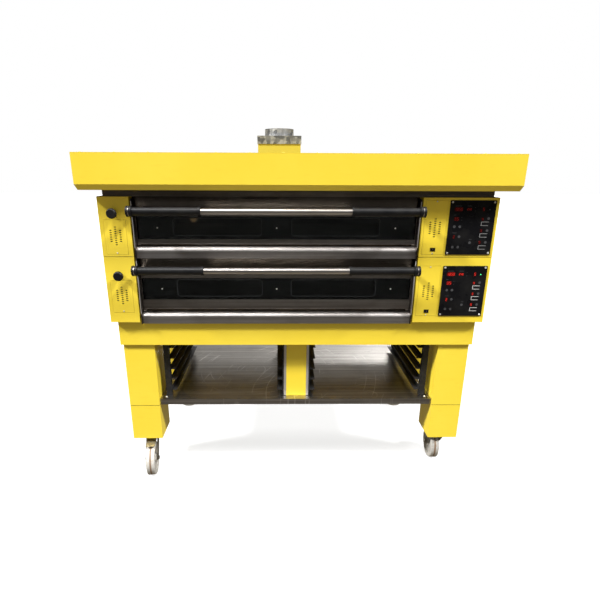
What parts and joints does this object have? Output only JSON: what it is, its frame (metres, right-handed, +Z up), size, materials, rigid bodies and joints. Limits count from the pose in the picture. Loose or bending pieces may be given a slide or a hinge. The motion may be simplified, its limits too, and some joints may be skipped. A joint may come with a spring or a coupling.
{
  "type": "double deck pizza oven",
  "caption": "Electric deck oven with two low baking chambers, fold-down glass doors and full-width handles, under a hood, on a wheeled stand with tray racks.",
  "frame": {"origin": "on the floor, below the middle of the oven's overall width and depth", "axes": "+X to the viewer's right, +Y to the back, +Z up; the doors face -Y"},
  "size_m": [2.032, 0.993, 1.883],
  "materials": {
    "yellow_paint": "satin",
    "steel": "brushed",
    "panel_black": "gloss",
    "black_plastic": "matte",
    "chamber_steel": "dull",
    "baking_stone": "matte",
    "heater_steel": "satin",
    "zinc": "zinc plated",
    "door_glass": "black print with clear windows",
    "wool": "matte",
    "lamp_glass": "clear",
    "board": "matte",
    "black_steel": "satin",
    "galvanised": "galvanised",
    "wheel_nylon": "matte"
  },
  "bodies": {
    "oven": {"lower_casing": "yellow_paint", "lower_left_column": "yellow_paint", "lower_right_column": "yellow_paint", "lower_vent_panels": "yellow_paint", "lower_control_panel": "panel_black", "lower_sill": "steel", "lower_door_surround": "steel", "lower_chamber": "chamber_steel", "lower_baking_stones": "baking_stone", "lower_heating_elements": "heater_steel", "upper_casing": "yellow_paint", "upper_left_column": "yellow_paint", "upper_right_column": "yellow_paint", "upper_vent_panels": "yellow_paint", "upper_control_panel": "panel_black", "upper_sill": "steel", "upper_door_surround": "steel", "upper_chamber": "chamber_steel", "upper_baking_stones": "baking_stone", "upper_heating_elements": "heater_steel", "insulation": "wool", "switch_bezels": "black_plastic", "chamber_lamps": "lamp_glass", "control_boards": "board", "stand_frame": "yellow_paint", "stand_skirt": "yellow_paint", "leg_extensions": "yellow_paint", "shelf": "steel", "left_tray_rack": "black_steel", "right_tray_rack": "black_steel", "centre_panel": "yellow_paint", "hood_base": "steel", "hood_shell": "yellow_paint", "flue_duct": "yellow_paint", "flue_collar": "galvanised", "caster_plates": "black_steel"},
    "lower_door": {"lower_door_frame": "steel", "lower_door_glass": "door_glass", "lower_handle_tube": "steel", "lower_handle_grips": "black_plastic"},
    "lower_damper": {"lower_damper_knob": "black_plastic", "lower_damper_rod": "zinc"},
    "lower_switch": {"lower_rocker": "black_plastic"},
    "upper_door": {"upper_door_frame": "steel", "upper_door_glass": "door_glass", "upper_handle_tube": "steel", "upper_handle_grips": "black_plastic"},
    "upper_damper": {"upper_damper_knob": "black_plastic", "upper_damper_rod": "zinc"},
    "upper_switch": {"upper_rocker": "black_plastic"},
    "front_left_swivel": {"front_left_caster_fork": "zinc"},
    "front_left_roller": {"front_left_wheel": "wheel_nylon"},
    "front_left_brake": {"front_left_brake_pedal": "zinc"},
    "front_right_swivel": {"front_right_caster_fork": "zinc"},
    "front_right_roller": {"front_right_wheel": "wheel_nylon"},
    "front_right_brake": {"front_right_brake_pedal": "zinc"},
    "rear_left_swivel": {"rear_left_caster_fork": "zinc"},
    "rear_left_roller": {"rear_left_wheel": "wheel_nylon"},
    "rear_right_swivel": {"rear_right_caster_fork": "zinc"},
    "rear_right_roller": {"rear_right_wheel": "wheel_nylon"}
  },
  "joints": [
    {"name": "lower_door_hinge", "type": "hinge", "parent": "oven", "child": "lower_door", "pos_m": [-0.107, -0.3515, 0.992], "axis": [1, 0, 0], "range_deg": [0, 85]},
    {"name": "lower_damper_pull", "type": "slide", "parent": "oven", "child": "lower_damper", "axis": [0, -1, 0], "range_m": [0, 0.06]},
    {"name": "lower_switch_rock", "type": "hinge", "parent": "oven", "child": "lower_switch", "pos_m": [0.653, -0.3865, 0.995], "axis": [1, 0, 0], "range_deg": [-12, 0]},
    {"name": "upper_door_hinge", "type": "hinge", "parent": "oven", "child": "upper_door", "pos_m": [-0.107, -0.3515, 1.331], "axis": [1, 0, 0], "range_deg": [0, 85]},
    {"name": "upper_damper_pull", "type": "slide", "parent": "oven", "child": "upper_damper", "axis": [0, -1, 0], "range_m": [0, 0.06]},
    {"name": "upper_switch_rock", "type": "hinge", "parent": "oven", "child": "upper_switch", "pos_m": [0.653, -0.3865, 1.311], "axis": [1, 0, 0], "range_deg": [-12, 0]},
    {"name": "front_left_swivel_turn", "type": "hinge", "parent": "oven", "child": "front_left_swivel", "pos_m": [-0.833, -0.275, 0.2], "axis": [0, 0, 1], "continuous": true},
    {"name": "front_left_wheel_spin", "type": "hinge", "parent": "front_left_swivel", "child": "front_left_roller", "pos_m": [-0.82256, -0.34927, 0.09], "axis": [0.9903, 0.1392, 0], "continuous": true},
    {"name": "front_left_brake_press", "type": "hinge", "parent": "front_left_swivel", "child": "front_left_brake", "pos_m": [-0.82994, -0.29679, 0.1917], "axis": [0.9903, 0.1392, 0], "range_deg": [0, 9]},
    {"name": "front_right_swivel_turn", "type": "hinge", "parent": "oven", "child": "front_right_swivel", "pos_m": [0.833, -0.275, 0.2], "axis": [0, 0, 1], "continuous": true},
    {"name": "front_right_wheel_spin", "type": "hinge", "parent": "front_right_swivel", "child": "front_right_roller", "pos_m": [0.83823, -0.20018, 0.09], "axis": [-0.9976, 0.0698, 0], "continuous": true},
    {"name": "front_right_brake_press", "type": "hinge", "parent": "front_right_swivel", "child": "front_right_brake", "pos_m": [0.83454, -0.25305, 0.1917], "axis": [-0.9976, 0.0698, 0], "range_deg": [0, 9]},
    {"name": "rear_left_swivel_turn", "type": "hinge", "parent": "oven", "child": "rear_left_swivel", "pos_m": [-0.833, 0.378, 0.2], "axis": [0, 0, 1], "continuous": true},
    {"name": "rear_left_wheel_spin", "type": "hinge", "parent": "rear_left_swivel", "child": "rear_left_roller", "pos_m": [-0.75914, 0.39102, 0.09], "axis": [-0.1736, 0.9848, 0], "continuous": true},
    {"name": "rear_right_swivel_turn", "type": "hinge", "parent": "oven", "child": "rear_right_swivel", "pos_m": [0.833, 0.378, 0.2], "axis": [0, 0, 1], "continuous": true},
    {"name": "rear_right_wheel_spin", "type": "hinge", "parent": "rear_right_swivel", "child": "rear_right_roller", "pos_m": [0.75873, 0.38844, 0.09], "axis": [-0.1392, -0.9903, 0], "continuous": true}
  ]
}
